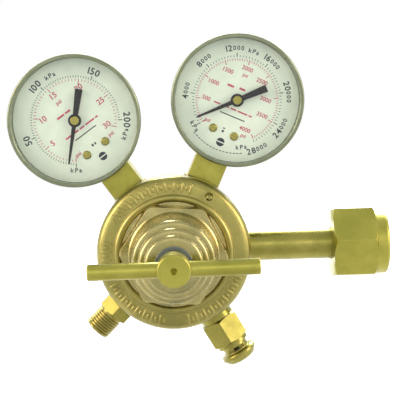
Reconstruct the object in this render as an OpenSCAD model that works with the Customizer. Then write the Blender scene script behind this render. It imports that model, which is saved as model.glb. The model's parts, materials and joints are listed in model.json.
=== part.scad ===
// Single-stage gas regulator with two gauges, a cylinder-valve inlet and a hose outlet.
// It is drawn about the adjusting screw's axis (Y, front at -Y) with every port in the plane
// y = 0, and then moved so that the origin is the centre of the inlet nut's mouth.

/* [Bonnet] */
// Outside diameter of the bonnet's flange
flange_d = 80; // [78:0.5:84]
// Hexagon across flats
bonnet_af = 48.7; // [46:0.1:50]
// Front face of the crown, measured forward from the port plane
crown_y = 61.5; // [61:0.1:62.5]

/* [Adjusting screw] */
// Thread diameter of the adjusting screw
screw_d = 12.7; // [10:0.1:14]
// Diameter of the screw's head
head_d = 16; // [15:0.1:18]
// Length of the screw's head
head_len = 12.8; // [12:0.1:18]
// Diameter of the cross bar
bar_d = 7.86; // [6:0.02:9]
// Length of the cross bar
bar_len = 82; // [60:1:100]

/* [Gauges] */
// Outside diameter of a gauge's bezel
gauge_d = 68.5; // [66:0.5:70]
// Distance from the screw's axis to a gauge's centre
gauge_reach = 85; // [84:0.5:90]
// Direction of the delivery-pressure gauge, counter-clockwise from the inlet
low_angle = 125.3; // [122:0.1:130]
// Direction of the cylinder-pressure gauge, counter-clockwise from the inlet
high_angle = 65.7; // [60:0.1:68]
// Width across the square gauge sockets
socket_w = 17.2; // [15:0.1:18]
// Length of the pointer from its centre to its tip
needle_len = 22.6; // [20:0.1:26]
// Length of the pointer's broad tail
tail_reach = 16.4; // [12:0.1:20]

/* [Inlet] */
// Distance from the screw's axis to the nut's mouth
inlet_reach = 113; // [108:0.5:125]
// Outside diameter of the nipple
nipple_d = 16.3; // [15:0.1:16.6]
// Hexagon of the nut, across flats
nut_af = 34.9; // [33:0.1:38]
// Angle by which the nut's hexagon is turned about its axis
nut_turn = 19; // [0:1:60]

/* [Outlet and relief valve] */
// Direction of the hose outlet
outlet_angle = 225; // [215:1:235]
// Thread diameter of the hose outlet
outlet_d = 14.29; // [13.5:0.01:14.6]
// Hexagon of the hose outlet, across flats
outlet_af = 15.9; // [15:0.1:17]
// Direction of the relief valve
relief_angle = 300; // [290:1:310]
// Hexagon of the relief valve, across flats
relief_af = 19.05; // [17:0.05:20]

/* [Hidden] */
$fn = 96;

brass = [0.72, 0.67, 0.34];
forged_brass = [0.68, 0.62, 0.36];
bright_brass = [0.80, 0.75, 0.40];
steel = [0.60, 0.61, 0.62];
bronze = [0.55, 0.42, 0.24];
case_steel = [0.48, 0.50, 0.42];
dial_white = [0.90, 0.93, 0.88];
rubber = [0.10, 0.10, 0.10];
ptfe = [0.92, 0.92, 0.90];

fit_gap = 0.05;          // radial clearance of a shaft that turns or slides in its hole
seat_gap = 0.02;         // radial clearance of a part screwed or pressed in for good

// Body
flange_r = flange_d / 2;
body_r = 36.5;
body_lip_r = flange_r - 1.4;
rim_y = -16;             // rim that clamps the diaphragm
thread_r = 36.3;         // where the bonnet screws on
low_floor_y = -10;       // floor of the low-pressure chamber
low_r = 27;
high_r = 7.4;            // bore of the high-pressure chamber
high_end_y = 11;
back_y = 17;
boss_reach = 39;
boss_r = 10.2;
port_depth = 28;         // how near the axis a port's thread starts
inlet_port_r = 6.7;
gauge_port_r = 6.42;
outlet_port_r = 7.0;
relief_port_r = 6.2;

// Diaphragm stack, from the body's rim forward
diaphragm_r = 33;
diaphragm_t = 1;
slip_t = 1.5;
shoulder_y = rim_y - diaphragm_t - slip_t;
plate_r = 20;
plate_front_y = rim_y - diaphragm_t - 3;
pusher_y = rim_y + 1.2;  // rear face of the pusher

// Nozzle and valve
nozzle_r = 8;
nozzle_head_y = low_floor_y - 3.4;
seat_lip_y = -3.2;
stem_r = 1;

// Bonnet steps: outside radius and where each one starts, from the hexagon to the crown
skirt_y = -11;
face_y = -23.7;
hex_top_y = -31;
moat_y = -25;            // floor of the ring-shaped recess round the hexagon
cove_r = 23.2;
hex_corner_r = 27.7;     // the hexagon's corners are turned off at this radius
hex_draft = 9;           // its sides lean in towards the front
hex_turn = 4.3;          // the hexagon sits a little clockwise of its flats being level
steps = [[20.8, -43.5], [17.6, -52.6], [14.6, -57.4]];
step_round = 2.1;
bushing_r = 9.4;
vent_angle = 57;
vent_at_r = 34.7;
vent_r = 2.4;
bushing_in_y = -53.5;

// Adjusting screw
screw_r = screw_d / 2;
head_y = -66.5;          // rear face of the head
bar_y = -73;
bar_tilt = 0.5;
button_y = -42;          // front face of the spring button
button_r = 11.8;
spring_r = 10.2;         // mean radius of the adjusting spring
spring_wire_d = 3.4;

// Nut and nipple, along the inlet's axis
nut_back_x = inlet_reach - 29.3;
nut_hex_end_x = inlet_reach - 6.6;
nut_shoulder_x = inlet_reach - 23;
nut_thread_x = inlet_reach - 12.5;
nut_thread_r = 10.8;
nut_collar_r = 16.9;
nipple_r = nipple_d / 2;
nose_x = inlet_reach - 13.2;

// Gauge, in its own frame: centre at the origin, stem towards -Z, face towards -Y
bezel_r = gauge_d / 2;
window_r = bezel_r - 2.1;
case_r = bezel_r - 1.1;
case_wall = 0.9;
case_front_y = -15.4;
case_back_y = 10;
bezel_front_y = -18;
lens_t = 1.6;
dial_y = -9.9;           // front face of the dial
dial_t = 0.5;
dial_r = 32.1;
dial_screw_x = 5.9;
dial_screw_z = -17.9;
socket_bottom_z = boss_reach + 0.5 - gauge_reach;
socket_step_z = -28;
socket_top_z = -20;
stem_bottom_z = port_depth + 1 - gauge_reach;
tube_r = 24;             // centre line of the Bourdon tube
tube_w = 8;
tube_t = 2.6;
tube_y = 2.5;
tube_end_angle = -25;
tooth_module = 0.25;
pinion_teeth = 10;
gear_ratio = 10;
pinion_r = tooth_module * pinion_teeth / 2;
sector_r = pinion_r * gear_ratio;
sector_z = -(pinion_r + sector_r);
sector_sweep = 27;
tail_len = 7;
plate_t = 1.2;
front_plate_y = -8.2;
back_plate_y = -1;
sector_y = -4;           // rear face of the sector
sector_t = 1.4;
link_y = sector_y + 0.1;
link_t = 0.7;
head_front_y = tube_y - tube_w / 2 - 0.7;
arbor_r = 0.6;

// ---------- shared shapes ----------

// Moves a piece drawn about the adjusting screw into the part's own frame.
module placed() translate([-inlet_reach, 0, 0]) children();

// Turns a piece drawn along +X to a port's direction.
module at_port(angle) placed() rotate([0, -angle, 0]) children();

// Carries a piece from a gauge's own frame to its place.
module at_gauge(angle) placed() rotate([0, 90 - angle, 0]) translate([0, 0, gauge_reach]) children();

// Revolves an outline of [radius, y] points about the Y axis.
module lathe_y(outline) rotate([-90, 0, 0]) rotate_extrude() polygon(outline);

// Revolves an outline of [radius, x] points about the X axis.
module lathe_x(outline) rotate([0, 90, 0]) rotate_extrude() polygon(outline);

module rod_y(r, y0, y1) translate([0, y0, 0]) rotate([-90, 0, 0]) cylinder(r = r, h = y1 - y0);

module rod_x(r, x0, x1) translate([x0, 0, 0]) rotate([0, 90, 0]) cylinder(r = r, h = x1 - x0);

// A ring of square section about the Y axis.
module ring_y(r_out, r_in, y0, y1) difference() {
    rod_y(r_out, y0, y1);
    rod_y(r_in, y0 - 1, y1 + 1);
}

// A hexagonal bar along X whose corners are turned down by chamfer at both ends.
module hex_x(af, x0, x1, chamfer, turn = 0) intersection() {
    translate([x0, 0, 0]) rotate([turn, 0, 0]) rotate([0, 90, 0])
        cylinder(r = af / 2 / cos(30), h = x1 - x0, $fn = 6);
    lathe_x([
        [0, x0], [af / 2 / cos(30) - chamfer, x0], [af / 2 / cos(30), x0 + chamfer * 0.58],
        [af / 2 / cos(30), x1 - chamfer * 0.58], [af / 2 / cos(30) - chamfer, x1], [0, x1]
    ]);
}

// Points of an arc about c, from angle a0 to a1, in n steps.
function arc(c, r, a0, a1, n = 6) =
    [for (i = [0:n]) let (a = a0 + (a1 - a0) * i / n) [c[0] + r * cos(a), c[1] + r * sin(a)]];

// One ring of n points of a wire's section, at a turn angle of a and a height h.
function coil_ring(r, wire_r, a, h, n) =
    [for (k = [0:n - 1]) let (b = 360 * k / n)
        [(r + wire_r * cos(b)) * cos(a), (r + wire_r * cos(b)) * sin(a), h + wire_r * sin(b)]];

// A round-wire compression spring along +Z, its wire just inside z = 0 and z = len.
module coil_spring(r, wire_r, len, turns, sides = 8, steps_per_turn = 20) {
    n = turns * steps_per_turn;
    rings = [for (i = [0:n]) coil_ring(r, wire_r, 360 * i / steps_per_turn,
        wire_r + (len - 2 * wire_r) * i / n, sides)];
    polyhedron(
        points = [for (ring = rings) each ring],
        faces = concat(
            [[for (k = [0:sides - 1]) k]],
            [for (i = [0:n - 1], k = [0:sides - 1])
                let (a = i * sides, b = a + sides, q = (k + 1) % sides) [a + k, b + k, b + q]],
            [for (i = [0:n - 1], k = [0:sides - 1])
                let (a = i * sides, b = a + sides, q = (k + 1) % sides) [a + k, b + q, a + q]],
            [[for (k = [sides - 1:-1:0]) n * sides + k]]
        )
    );
}

// ---------- body and bonnet ----------

// A drilling from a port to the low-pressure chamber.
module low_drilling(angle, r) rotate([0, -angle, 0]) {
    rod_x(r, 20, port_depth + 1);
    translate([21, 0, 0]) rod_y(r, low_floor_y - 1, 0);
}

// A drilling from a port to the high-pressure chamber.
module high_drilling(angle, r) rotate([0, -angle, 0]) rod_x(r, high_r - 3, port_depth + 1);

module regulator_body() color(forged_brass) placed() difference() {
    union() {
        lathe_y(concat(
            [[0, rim_y], [thread_r, rim_y], [thread_r, -10.6], [body_lip_r, -10.6], [body_lip_r, -8]],
            [[body_r, -7]],
            [for (p = arc([0, 0], 1, 0, 90, 8)) [20 + (body_r - 20) * p[0], 2 + (back_y - 2) * p[1]]],
            [[0, back_y]]
        ));
        for (a = [0, low_angle, high_angle, outlet_angle, relief_angle])
            rotate([0, -a, 0]) rod_x(boss_r, 22, boss_reach);
    }
    rod_y(low_r, rim_y - 1, low_floor_y);
    rod_y(nozzle_r, low_floor_y - 1, -4);
    rod_y(high_r, -5, high_end_y);
    rod_x(inlet_port_r, port_depth, boss_reach + 1);
    rotate([0, -low_angle, 0]) rod_x(gauge_port_r, port_depth, boss_reach + 1);
    rotate([0, -high_angle, 0]) rod_x(gauge_port_r, port_depth, boss_reach + 1);
    rotate([0, -outlet_angle, 0]) rod_x(outlet_port_r, port_depth, boss_reach + 1);
    rotate([0, -relief_angle, 0]) rod_x(relief_port_r, port_depth, boss_reach + 1);
    high_drilling(0, 2.5);
    high_drilling(high_angle, 1.6);
    low_drilling(low_angle, 1.6);
    low_drilling(outlet_angle, 3);
    low_drilling(relief_angle, 3);
}

// One step of the bonnet: its rounded front edge, then the foot of the next step.
function step_edge(i) = let (
    r = steps[i][0],
    front = i < len(steps) - 1 ? steps[i + 1][1] : -crown_y
) concat([[r, steps[i][1]]], arc([r - step_round, front + step_round], step_round, 0, -90));

module bonnet() color(forged_brass) placed() difference() {
    union() {
        lathe_y(concat(
            [[0, skirt_y], [flange_r - 0.8, skirt_y], [flange_r, skirt_y - 0.8]],
            arc([flange_r - 5, face_y + 5], 5, 0, -90),
            [[31, face_y - 0.3]],
            arc([29, face_y - 0.3], 1.9, 0, -180, 8),
            [[27.1, moat_y], [cove_r, moat_y]],
            // hollow sweep from the hexagon's face up to the first step
            [for (t = [0:15:90]) [
                steps[0][0] + (cove_r - steps[0][0]) * (1 - sin(t)),
                hex_top_y + (steps[0][1] - hex_top_y) * (1 - cos(t))
            ]],
            [for (i = [0:len(steps) - 1]) each step_edge(i)],
            [[0, -crown_y]]
        ));
        difference() {
            lathe_y([[0, face_y + 2], [hex_corner_r, face_y + 2], [hex_corner_r, hex_top_y + 0.6],
                [hex_corner_r - 0.6, hex_top_y], [0, hex_top_y]]);
            for (i = [0:5]) rotate([0, hex_turn + 60 * i, 0])
                translate([0, hex_top_y, bonnet_af / 2]) rotate([hex_draft, 0, 0])
                    translate([-20, -5, 0]) cube([40, 25, 8]);
        }
    }
    lathe_y([
        [0, skirt_y + 1], [thread_r + seat_gap, skirt_y + 1], [thread_r + seat_gap, shoulder_y],
        [28, shoulder_y], [28, -22], [19, -30], [19, -42], [15.8, -42], [15.8, -47.5],
        [12.6, -47.5], [12.6, bushing_in_y], [bushing_r, bushing_in_y],
        [bushing_r, -crown_y - 1], [0, -crown_y - 1]
    ]);
    // vent that lets the spring chamber breathe
    rotate([0, -vent_angle, 0]) translate([vent_at_r, 0, 0]) {
        translate([0, face_y - 0.8, 0]) sphere(vent_r);
        translate([-0.8, face_y + 0.3, 0]) rotate([0, 0, 157]) rod_x(0.7, 0, 8.5);
    }
}

// Threaded steel bushing in the bonnet's crown.
module bonnet_bushing() color(steel) placed() difference() {
    union() {
        rod_y(bushing_r - seat_gap, -crown_y - 0.4, bushing_in_y);
        rod_y(11.6, bushing_in_y, bushing_in_y + 2);
    }
    rod_y(screw_r + fit_gap, -crown_y - 1, bushing_in_y + 3);
}

// ---------- adjusting screw and spring ----------

module adjusting_screw() color(brass) placed() difference() {
    lathe_y([
        [0, head_y - head_len], [head_d / 2 - 0.5, head_y - head_len],
        [head_d / 2, head_y - head_len + 0.5], [head_d / 2, head_y - 1],
        [head_d / 2 - 1, head_y], [screw_r, head_y], [screw_r, button_y - 1.4],
        [screw_r - 1.2, button_y - 0.2], [3, button_y - 0.2],
        [2, button_y + 0.8], [0, button_y + 0.8]
    ]);
    rotate([0, -bar_tilt, 0]) translate([0, bar_y, 0]) rod_x(bar_d / 2 + seat_gap, -20, 20);
    // centre drilling left by turning
    lathe_y([[0, head_y - head_len - 1], [2.4, head_y - head_len - 1],
        [1.4, head_y - head_len + 0.6], [0, head_y - head_len + 2.2]]);
}

module handle_bar() color(brass) placed() rotate([0, -bar_tilt, 0]) translate([0, bar_y, 0])
    lathe_x([[0, -bar_len / 2], [bar_d / 2 - 0.5, -bar_len / 2], [bar_d / 2, 0.5 - bar_len / 2],
        [bar_d / 2, bar_len / 2 - 0.5], [bar_d / 2 - 0.5, bar_len / 2], [0, bar_len / 2]]);

module spring_button() color(steel) placed() difference() {
    union() {
        rod_y(button_r, button_y, button_y + 3);
        rod_y(7.8, button_y + 3, button_y + 6);
    }
    lathe_y([[0, button_y - 1], [3.2, button_y - 1], [3.2, button_y],
        [2.2, button_y + 1], [0, button_y + 1]]);
}

module adjusting_spring() color(steel) placed() translate([0, button_y + 3, 0])
    rotate([-90, 0, 0]) coil_spring(spring_r, spring_wire_d / 2, plate_front_y - button_y - 3, 4.25);

// ---------- diaphragm and valve ----------

// Plate in front of the diaphragm, with the pusher riveted to it from behind.
module diaphragm_plate() color(brass) placed() difference() {
    union() {
        rod_y(plate_r, plate_front_y, rim_y - diaphragm_t);
        rod_y(7.5, plate_front_y - 2.5, plate_front_y);
        rod_y(2.5, rim_y - diaphragm_t - 0.5, rim_y + 0.5);
        rod_y(6, rim_y, pusher_y);
    }
    rod_y(1.5, plate_front_y - 3, plate_front_y);
}

module slip_ring() color(steel) placed()
    ring_y(diaphragm_r, 28.2, shoulder_y, shoulder_y + slip_t);

module diaphragm() color(rubber) placed() ring_y(diaphragm_r, 2.5, rim_y - diaphragm_t, rim_y);

module nozzle() color(bright_brass) placed() difference() {
    union() {
        translate([0, low_floor_y, 0]) rotate([90, 0, 0])
            cylinder(r = 8.6, h = low_floor_y - nozzle_head_y, $fn = 6);
        rod_y(nozzle_r - seat_gap, low_floor_y, -4.4);
        lathe_y([[0, -4.41], [3.6, -4.41], [2.2, seat_lip_y], [0, seat_lip_y]]);
    }
    rod_y(stem_r + fit_gap, nozzle_head_y - 1, nozzle_head_y + 1.6);
    rod_y(1.6, nozzle_head_y + 1.2, seat_lip_y + 1);
    for (a = [0, 90]) rotate([0, a, 0])
        translate([0, nozzle_head_y + 2.2, 0]) rod_x(0.8, -10, 10);
}

module valve_stem() color(steel) placed() difference() {
    union() {
        rod_y(stem_r, pusher_y + 0.05, 0);
        rod_y(4.6, seat_lip_y + 0.1, 3);
        rod_y(2.4, 3, 6);
    }
    ring_y(3.6, stem_r, seat_lip_y - 1, -1.2);
}

module valve_seat() color(ptfe) placed() ring_y(3.58, stem_r + 0.01, seat_lip_y + 0.05, -1.22);

module marginal_spring() color(steel) placed() translate([0, 3, 0])
    rotate([-90, 0, 0]) coil_spring(3.2, 0.35, high_end_y - 3, 5, 6, 16);

// ---------- inlet ----------

module inlet_nipple() color(bright_brass) placed() difference() {
    lathe_x(concat(
        [[0, port_depth + 1], [inlet_port_r - 0.8, port_depth + 1],
            [inlet_port_r - seat_gap, port_depth + 2], [inlet_port_r - seat_gap, boss_reach + 0.2],
            [nipple_r, boss_reach + 0.2], [nipple_r, nut_shoulder_x + 0.3],
            [10.3, nut_shoulder_x + 0.3], [10.3, nut_shoulder_x + 3.4], [7.4, nut_shoulder_x + 4.6]],
        arc([1.4, nose_x - 4.6], 4.6, 0, 90),
        [[0, nose_x]]
    ));
    rod_x(2.5, port_depth, nose_x - 10);
    rod_x(3.2, nose_x - 11, nose_x + 1);
}

module inlet_filter() color(bronze) placed() difference() {
    rod_x(3.18, nose_x - 10.9, nose_x - 1.4);
    rod_x(1.6, nose_x - 12, nose_x - 3);
}

module inlet_nut() color(brass) placed() difference() {
    union() {
        hex_x(nut_af, nut_back_x, nut_hex_end_x, 2.4, nut_turn);
        lathe_x(concat(
            [[0, nut_hex_end_x - 1], [nut_collar_r, nut_hex_end_x - 1]],
            arc([nut_collar_r - 1.8, inlet_reach - 1.8], 1.8, 0, 90),
            [[0, inlet_reach]]
        ));
    }
    rod_x(nipple_r + 0.35, nut_back_x - 1, nut_shoulder_x + 1);
    rod_x(11.7, nut_shoulder_x, nut_thread_x);
    rod_x(nut_thread_r, nut_thread_x - 1, inlet_reach + 1);
}

// ---------- outlet ----------

module outlet_fitting() color(bright_brass) at_port(outlet_angle) difference() {
    union() {
        rod_x(outlet_port_r - seat_gap, port_depth + 1, boss_reach + 0.5);
        hex_x(outlet_af, boss_reach + 0.5, 48, 1, 30);
        rod_x(6.6, 47.5, 49.8);
        rod_x(outlet_d / 2, 49.6, 59.4);
        lathe_x([[0, 59.4], [outlet_d / 2, 59.4], [outlet_d / 2 - 0.9, 60.3], [0, 60.3]]);
    }
    rod_x(2.6, port_depth, 61);
    lathe_x([[0, 56.6], [2.6, 56.6], [5, 60.31], [5, 61], [0, 61]]);
}

// ---------- relief valve, along +X ----------

relief_seat_x = 47;
relief_neck_x = 60.5;
relief_rim_x = 64.6;
relief_top_x = 70;
relief_bore_r = 6.3;

module relief_body() color(bright_brass) at_port(relief_angle) difference() {
    union() {
        rod_x(relief_port_r - seat_gap, port_depth + 1, boss_reach + 0.5);
        rod_x(8.8, boss_reach + 0.3, 46);
        hex_x(relief_af, 44.6, 58.5, 1.8, 30);
        rod_x(8.5, 58, relief_neck_x);
    }
    rod_x(3, port_depth, relief_seat_x + 1);
    rod_x(relief_bore_r, relief_seat_x, relief_neck_x + 1);
}

module relief_poppet() color(brass) at_port(relief_angle) difference() {
    union() {
        rod_x(5.4, relief_seat_x + 0.1, relief_seat_x + 3.2);
        rod_x(1.8, relief_seat_x + 3, relief_seat_x + 9);
    }
    rod_x(4.2, relief_seat_x - 1, relief_seat_x + 1.2);
}

module relief_seat() color(rubber) at_port(relief_angle)
    rod_x(4.18, relief_seat_x + 0.05, relief_seat_x + 1.2);

module relief_spring() color(steel) at_port(relief_angle) translate([relief_seat_x + 3.2, 0, 0])
    rotate([0, 90, 0]) coil_spring(3.1, 0.45, 15.3, 6, 6, 16);

// Cap screwed into the valve's body, with two vent slots under its rim.
module relief_cap() color(bright_brass) at_port(relief_angle) difference() {
    union() {
        rod_x(relief_bore_r - seat_gap, 54, relief_neck_x + 0.1);
        rod_x(6.75, relief_neck_x, relief_rim_x + 0.1);
        lathe_x(concat(
            [[0, relief_rim_x], [8.2, relief_rim_x]],
            arc([8.2, relief_rim_x + 1.6], 1.6, -90, 45, 4),
            arc([6.4, relief_top_x - 2], 2, 30, 90, 4),
            [[0, relief_top_x]]
        ));
    }
    rod_x(4.4, 53, relief_seat_x + 18.5);
    for (side = [-1, 1]) translate([relief_rim_x - 2.5, side * 6.5 - 2.4, -4.7]) cube([1.9, 4.8, 9.4]);
}

// ---------- gauge parts, each in the gauge's own frame ----------

module gauge_socket() color(brass) difference() {
    union() {
        translate([-socket_w / 2, -socket_w / 2, socket_bottom_z])
            cube([socket_w, socket_w, socket_step_z - socket_bottom_z]);
        // head that the tube is soldered into, cut back to clear the movement
        translate([-socket_w / 2, head_front_y, socket_step_z - 1])
            cube([socket_w, socket_w / 2 - head_front_y, socket_top_z - socket_step_z + 1]);
        translate([0, 0, stem_bottom_z])
            cylinder(r = gauge_port_r - seat_gap, h = socket_bottom_z - stem_bottom_z + 1);
        // tongue that carries the movement
        translate([-6, back_plate_y + plate_t, socket_top_z - 1]) cube([12, 2.8, 14]);
    }
    translate([0, 0, stem_bottom_z - 1]) cylinder(r = 1.5, h = -tube_r - stem_bottom_z + 1);
    ring_y(tube_r + tube_t / 2 + 0.1, tube_r - tube_t / 2 - 0.1,
        tube_y - tube_w / 2 - 0.1, tube_y + tube_w / 2 + 0.1);
}

module gauge_case() color(case_steel) difference() {
    rod_y(case_r, case_front_y, case_back_y);
    rod_y(case_r - case_wall, case_front_y - 1, case_back_y - case_wall);
    translate([-socket_w / 2 - 0.1, -socket_w / 2 - 0.1, -case_r - 2])
        cube([socket_w + 0.2, socket_w + 0.2, 8]);
}

module gauge_bezel() color(case_steel) lathe_y(concat(
    [[case_r + 0.05, -12], [bezel_r - 0.3, -12], [bezel_r, -12.3]],
    arc([bezel_r - 1, bezel_front_y + 1], 1, 0, -90, 4),
    [[window_r + 0.3, bezel_front_y], [window_r, bezel_front_y + 0.3]],
    [[window_r, case_front_y - lens_t - 0.02], [case_r + 0.05, case_front_y - lens_t - 0.02]]
));

module gauge_lens() color([0.9, 0.95, 0.95, 0.3])
    rod_y(case_r - 0.05, case_front_y - lens_t, case_front_y - 0.02);

module gauge_dial() color(dial_white) difference() {
    rod_y(dial_r, dial_y, dial_y + dial_t);
    rod_y(1.7, dial_y - 1, 0);
    for (x = [-1, 1]) translate([x * dial_screw_x, 0, dial_screw_z]) rod_y(0.9, dial_y - 1, 0);
}

module dial_screws() color(bright_brass) for (x = [-1, 1])
    translate([x * dial_screw_x, 0, dial_screw_z]) difference() {
        union() {
            lathe_y([[0, dial_y - 0.8], [1.6, dial_y - 0.8], [2.2, dial_y - 0.3],
                [2.2, dial_y], [0, dial_y]]);
            rod_y(0.85, dial_y - 0.1, front_plate_y - 0.3);
        }
        translate([-2, dial_y - 1.2, -0.18]) cube([4, 0.8, 0.36]);
    }

// Two plates on four pillars, with two posts for the dial.
module gauge_movement() color(brass) difference() {
    union() {
        for (y = [front_plate_y, back_plate_y])
            translate([-8, y, sector_z - 5.6]) cube([16, plate_t, -sector_z + 10]);
        for (at = [[-6.6, sector_z - 4], [6.6, -9], [-6.6, 2.8], [6.6, 2.8]])
            translate([at[0], 0, at[1]]) rod_y(1, front_plate_y + 0.5, back_plate_y + 0.5);
        for (x = [-1, 1]) translate([x * dial_screw_x, 0, dial_screw_z])
            rod_y(1.9, dial_y + dial_t, front_plate_y + 0.5);
    }
    rod_y(arbor_r + fit_gap, front_plate_y - 1, back_plate_y + 3);
    translate([0, 0, sector_z]) rod_y(0.8 + fit_gap, front_plate_y - 1, back_plate_y + 3);
    for (x = [-1, 1]) translate([x * dial_screw_x, 0, dial_screw_z])
        rod_y(0.87, dial_y - 1, front_plate_y);
}

// Flattened section of the Bourdon tube, wide along Y.
module tube_section(w, t) {
    square([t, w - t], center = true);
    for (s = [-1, 1]) translate([0, s * (w - t) / 2]) circle(d = t, $fn = 24);
}

module bourdon_tube() color(bronze) translate([0, tube_y, 0]) rotate([90, 0, 0])
    rotate([0, 0, tube_end_angle]) rotate_extrude(angle = 291) translate([tube_r, 0]) difference() {
        tube_section(tube_w, tube_t);
        tube_section(tube_w - 1, tube_t - 1);
    }

// Block soldered over the tube's free end, with the link's pivot pin.
module tube_tip() color(brass) rotate([0, -tube_end_angle, 0]) {
    translate([tube_r - 2, tube_y - tube_w / 2, -4.05]) cube([4, tube_w, 4]);
    translate([tube_r - 4.4, link_y + link_t, -3.4])
        cube([5.4, tube_y - tube_w / 2 - link_y - link_t + 0.1, 2.6]);
}

tip_x = (tube_r - 3.6) * cos(tube_end_angle) + 2.1 * sin(tube_end_angle);
tip_z = (tube_r - 3.6) * sin(tube_end_angle) - 2.1 * cos(tube_end_angle);
tail_x = -tail_len * sin(sector_sweep / 2);
tail_z = sector_z - tail_len * cos(sector_sweep / 2);

// Flat link from the tube's tip to the slot in the sector's tail.
module gauge_link() color(steel) {
    link_dx = tip_x - tail_x;
    link_dz = tip_z - tail_z;
    translate([tail_x, link_y, tail_z]) rotate([0, -atan2(link_dz, link_dx), 0])
        translate([-0.9, 0, -0.9]) cube([norm([link_dx, link_dz]) + 1.4, link_t, 1.8]);
    translate([tail_x, 0, tail_z]) rod_y(0.6, sector_y - sector_t - 0.3, link_y + 0.1);
}

// Involute tooth flank: angle from the tooth's middle at radius r.
function half_tooth(n, r, share) = let (
    pitch_r = tooth_module * n / 2,
    base_r = pitch_r * cos(20),
    at_pitch = 90 * share / n * 2,
    roll = r > base_r ? acos(base_r / r) : 0,
    inv = function (a) tan(a) * 180 / PI - a
) at_pitch + inv(20) - inv(roll);

// Outline of one tooth of a wheel of n teeth, from root to root, centred on angle a.
function tooth(n, a, add, ded, share) = let (
    r0 = tooth_module * n / 2 - ded,
    r1 = tooth_module * n / 2 + add,
    radii = [for (k = [0:3]) r0 + (r1 - r0) * k / 3]
) concat(
    [for (r = radii) let (b = a - half_tooth(n, r, share)) [r * cos(b), r * sin(b)]],
    [for (k = [3:-1:0]) let (r = radii[k], b = a + half_tooth(n, r, share)) [r * cos(b), r * sin(b)]]
);

module gauge_pinion() color(steel) {
    rod_y(arbor_r, -12.7, back_plate_y + plate_t - 0.1);
    translate([0, sector_y + 0.2, 0]) rotate([90, 0, 0]) linear_extrude(sector_t + 0.4) polygon(
        [for (i = [0:pinion_teeth - 1]) each
            tooth(pinion_teeth, -90 + 360 * (i + 0.5) / pinion_teeth, 0.2, 0.28, 0.42)]);
}

// Toothed sector on its arbor, resting at the low end of its sweep.
module gauge_sector() color(brass) translate([0, 0, sector_z]) {
    n = pinion_teeth * gear_ratio;
    rod_y(0.8, front_plate_y + 0.1, back_plate_y + plate_t - 0.1);
    difference() {
        union() {
            rod_y(2.2, sector_y - sector_t, sector_y + 0.6);
            translate([0, sector_y, 0]) rotate([90, 0, 0]) linear_extrude(sector_t) polygon(concat(
                [[1.6, -0.5]],
                [for (i = [-9:1]) each tooth(n, 90 + 360 * i / n, 0.13, 0.3, 0.42)],
                [[-1.6, -0.5]]
            ));
            rotate([0, sector_sweep / 2, 0])
                translate([-1.6, sector_y - sector_t, -tail_len - 1.8]) cube([3.2, sector_t, tail_len]);
        }
        // slot for the link's pin
        rotate([0, sector_sweep / 2, 0])
            translate([-0.8, sector_y - sector_t - 1, -tail_len - 1]) cube([1.6, sector_t + 2, 2]);
    }
}

// Flat spiral that takes up the gear's play.
module hairspring() color(bronze) translate([0, back_plate_y - 0.6, 0]) rotate([90, 0, 0]) linear_extrude(0.8) {
    turns = 4;
    n = turns * 20;
    spiral = function (i, offset) let (r = 1 + 4.6 * i / n + offset)
        [r * cos(18 * i), r * sin(18 * i)];
    polygon(concat([for (i = [0:n]) spiral(i, 0)], [for (i = [n:-1:0]) spiral(i, 0.22)]));
}

// Pointer at its zero mark: a black needle with a broad tail and a round centre.
module gauge_pointer() color(rubber) rotate([0, -135, 0]) difference() {
    union() {
        translate([0, dial_y - 2.3, 0]) rotate([90, 0, 0]) linear_extrude(0.5) polygon([
            [0.45, needle_len], [1.2, 0], [1.35, -3], [1.95, -tail_reach],
            [-1.95, -tail_reach], [-1.35, -3], [-1.2, 0], [-0.45, needle_len]
        ]);
        rod_y(3.4, dial_y - 2.8, dial_y - 2.3);
    }
    rod_y(1.3, dial_y - 4, dial_y);
}

module pointer_hub() color(bright_brass) difference() {
    union() {
        rod_y(2.2, dial_y - 3.5, dial_y - 2.82);
        rod_y(1.28, dial_y - 2.9, dial_y - 1.6);
    }
    rod_y(arbor_r + 0.01, dial_y - 2.9, 0);
}

regulator_body();
bonnet();
bonnet_bushing();
adjusting_screw();
handle_bar();
spring_button();
adjusting_spring();
diaphragm_plate();
slip_ring();
diaphragm();
nozzle();
valve_stem();
valve_seat();
marginal_spring();
inlet_nipple();
inlet_filter();
inlet_nut();
outlet_fitting();
relief_body();
relief_poppet();
relief_seat();
relief_spring();
relief_cap();
at_gauge(low_angle) gauge_socket();  // low_gauge_socket
at_gauge(low_angle) gauge_case();  // low_gauge_case
at_gauge(low_angle) gauge_bezel();  // low_gauge_bezel
at_gauge(low_angle) gauge_lens();  // low_gauge_lens
at_gauge(low_angle) gauge_dial();  // low_gauge_dial
at_gauge(low_angle) dial_screws();  // low_gauge_dial_screws
at_gauge(low_angle) gauge_movement();  // low_gauge_movement
at_gauge(low_angle) bourdon_tube();  // low_gauge_bourdon_tube
at_gauge(low_angle) tube_tip();  // low_gauge_tube_tip
at_gauge(low_angle) gauge_link();  // low_gauge_link
at_gauge(low_angle) gauge_sector();  // low_gauge_sector
at_gauge(low_angle) gauge_pinion();  // low_gauge_pinion
at_gauge(low_angle) hairspring();  // low_gauge_hairspring
at_gauge(low_angle) gauge_pointer();  // low_gauge_pointer
at_gauge(low_angle) pointer_hub();  // low_gauge_pointer_hub
at_gauge(high_angle) gauge_socket();  // high_gauge_socket
at_gauge(high_angle) gauge_case();  // high_gauge_case
at_gauge(high_angle) gauge_bezel();  // high_gauge_bezel
at_gauge(high_angle) gauge_lens();  // high_gauge_lens
at_gauge(high_angle) gauge_dial();  // high_gauge_dial
at_gauge(high_angle) dial_screws();  // high_gauge_dial_screws
at_gauge(high_angle) gauge_movement();  // high_gauge_movement
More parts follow.
